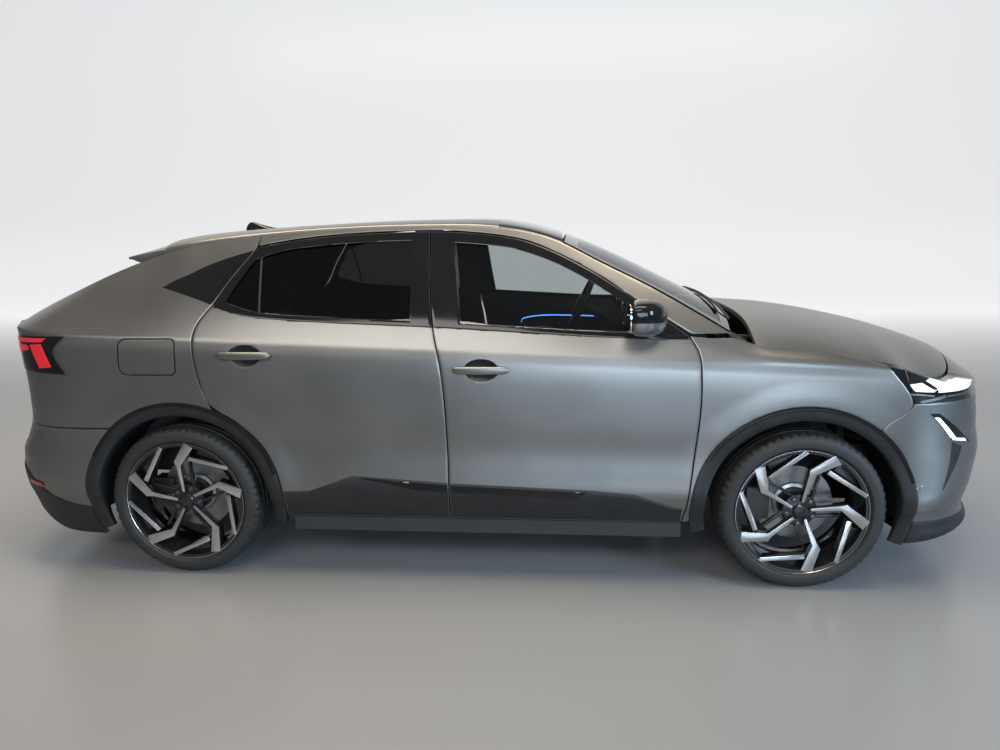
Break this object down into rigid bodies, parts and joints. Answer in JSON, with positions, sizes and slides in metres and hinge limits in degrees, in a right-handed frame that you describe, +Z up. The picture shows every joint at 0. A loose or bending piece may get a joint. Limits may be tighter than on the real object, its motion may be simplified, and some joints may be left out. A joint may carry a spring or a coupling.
{
  "type": "coupe sport utility vehicle",
  "caption": "Five-door coupe sport utility vehicle with a sloping roof, opening doors, bonnet and tailgate, steered front wheels and a hollow cabin.",
  "frame": {"origin": "on the ground, at the middle of the overall length and width", "axes": "+X towards the front of the vehicle, +Y to its left, +Z up"},
  "size_m": [4.71, 2.189, 1.6129],
  "materials": {
    "paint": "satin metallic",
    "glass_clear": "tinted",
    "glass_dark": "privacy tint",
    "gloss_black": "gloss",
    "cladding": "matt",
    "tyre": "matt",
    "alloy": "machined and dark painted",
    "steel": "painted",
    "lamp_clear": "clear lens",
    "lamp_red": "gloss",
    "cloth": "woven",
    "soft_plastic": "grained"
  },
  "bodies": {
    "body": {"floor": "steel", "bulkhead": "steel", "front_frame": "steel", "load_floor": "steel", "windscreen": "glass_clear", "roof": "paint", "roof_glass": "gloss_black", "antenna": "gloss_black", "fender_left": "paint", "fender_right": "paint", "roof_rail_left": "paint", "roof_rail_right": "paint", "quarter_left": "paint", "quarter_right": "paint", "front_bumper": "paint", "grille": "cladding", "rear_bumper": "paint", "headlamps": "lamp_clear", "tail_lamps": "lamp_red", "arch_trims": "cladding", "wheel_liners": "cladding", "door_hinges": "steel", "front_subframe": "steel", "rear_axle": "steel", "engine": "steel", "front_seats": "cloth", "rear_seat": "cloth", "dashboard": "soft_plastic", "steering_wheel": "soft_plastic"},
    "bonnet": {"bonnet": "paint"},
    "tailgate": {"tailgate": "paint", "rear_window": "glass_dark", "spoiler": "paint", "gate_lamps": "lamp_red"},
    "fuel_flap": {"fuel_flap": "paint"},
    "door_front_left": {"door_front_left": "paint", "glass_front_left": "glass_clear", "mirror_left": "gloss_black"},
    "door_rear_left": {"door_rear_left": "paint", "glass_rear_left": "glass_dark"},
    "knuckle_left": {"knuckle_left": "steel"},
    "wheel_front_left": {"tyre_front_left": "tyre", "wheel_front_left": "alloy"},
    "wheel_rear_left": {"tyre_rear_left": "tyre", "wheel_rear_left": "alloy"},
    "door_front_right": {"door_front_right": "paint", "glass_front_right": "glass_clear", "mirror_right": "gloss_black"},
    "door_rear_right": {"door_rear_right": "paint", "glass_rear_right": "glass_dark"},
    "knuckle_right": {"knuckle_right": "steel"},
    "wheel_front_right": {"tyre_front_right": "tyre", "wheel_front_right": "alloy"},
    "wheel_rear_right": {"tyre_rear_right": "tyre", "wheel_rear_right": "alloy"}
  },
  "joints": [
    {"name": "steer_left", "type": "hinge", "parent": "body", "child": "knuckle_left", "pos_m": [1.41, 0.722, 0.35], "axis": [0, 0, 1], "range_deg": [-35, 35]},
    {"name": "steer_right", "type": "hinge", "parent": "body", "child": "knuckle_right", "pos_m": [1.41, -0.722, 0.35], "axis": [0, 0, 1], "range_deg": [-35, 35]},
    {"name": "spin_front_left", "type": "hinge", "parent": "knuckle_left", "child": "wheel_front_left", "pos_m": [1.41, 0.807, 0.35], "axis": [0, 1, 0], "continuous": true},
    {"name": "spin_rear_left", "type": "hinge", "parent": "body", "child": "wheel_rear_left", "pos_m": [-1.328, 0.807, 0.35], "axis": [0, 1, 0], "continuous": true},
    {"name": "spin_front_right", "type": "hinge", "parent": "knuckle_right", "child": "wheel_front_right", "pos_m": [1.41, -0.807, 0.35], "axis": [0, 1, 0], "continuous": true},
    {"name": "spin_rear_right", "type": "hinge", "parent": "body", "child": "wheel_rear_right", "pos_m": [-1.328, -0.807, 0.35], "axis": [0, 1, 0], "continuous": true},
    {"name": "open_door_front_left", "type": "hinge", "parent": "body", "child": "door_front_left", "pos_m": [0.89, 0.91015, 0.735], "axis": [0, 0, -1], "range_deg": [0, 65]},
    {"name": "open_door_rear_left", "type": "hinge", "parent": "body", "child": "door_rear_left", "pos_m": [-0.139, 0.91015, 0.735], "axis": [0, 0, -1], "range_deg": [0, 65]},
    {"name": "open_door_front_right", "type": "hinge", "parent": "body", "child": "door_front_right", "pos_m": [0.89, -0.91015, 0.735], "axis": [0, 0, 1], "range_deg": [0, 65]},
    {"name": "open_door_rear_right", "type": "hinge", "parent": "body", "child": "door_rear_right", "pos_m": [-0.139, -0.91015, 0.735], "axis": [0, 0, 1], "range_deg": [0, 65]},
    {"name": "open_bonnet", "type": "hinge", "parent": "body", "child": "bonnet", "pos_m": [1.245, 0, 1.08867], "axis": [0, -1, 0], "range_deg": [0, 50]},
    {"name": "open_tailgate", "type": "hinge", "parent": "body", "child": "tailgate", "pos_m": [-1.476, 0, 1.52551], "axis": [0, 1, 0], "range_deg": [0, 75]},
    {"name": "open_fuel_flap", "type": "hinge", "parent": "body", "child": "fuel_flap", "pos_m": [-1.328, -0.90943, 1], "axis": [0, 0, 1], "range_deg": [0, 80]}
  ],
  "couplings": [
    {"joint": "steer_right", "follows": "steer_left", "ratio": 1}
  ]
}
